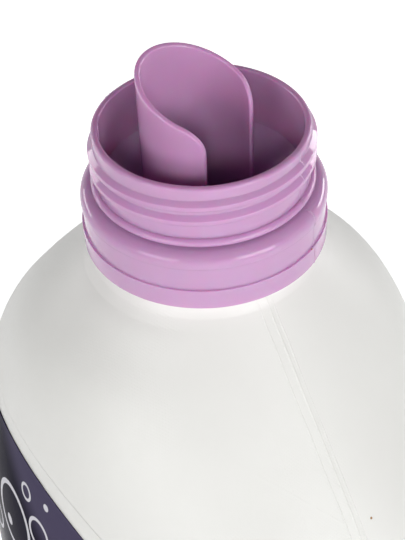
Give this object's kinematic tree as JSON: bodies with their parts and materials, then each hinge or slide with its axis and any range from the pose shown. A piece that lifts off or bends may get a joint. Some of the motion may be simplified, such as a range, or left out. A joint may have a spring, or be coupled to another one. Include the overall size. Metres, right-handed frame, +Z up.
{
  "type": "laundry detergent bottle",
  "caption": "Oval blow-moulded detergent bottle with sloping shoulders, a film label on its front and a threaded pouring fitment with a drip gutter and a slotted spout.",
  "frame": {"origin": "middle of the standing face, on the surface that the bottle stands on", "axes": "+Z up along the neck, +X along the long axis of the oval in the plane of the mould's parting line, -Y out of the face with the label"},
  "size_m": [0.154, 0.119, 0.2628],
  "materials": {
    "white_bottle": "satin white blow-moulded polyethylene",
    "lilac_fitment": "glossy lilac injection-moulded polypropylene",
    "label_film": "satin dark violet plastic film"
  },
  "bodies": {
    "root": {"bottle": "white_bottle", "pour_fitment": "lilac_fitment", "front_label": "label_film"}
  },
  "joints": []
}
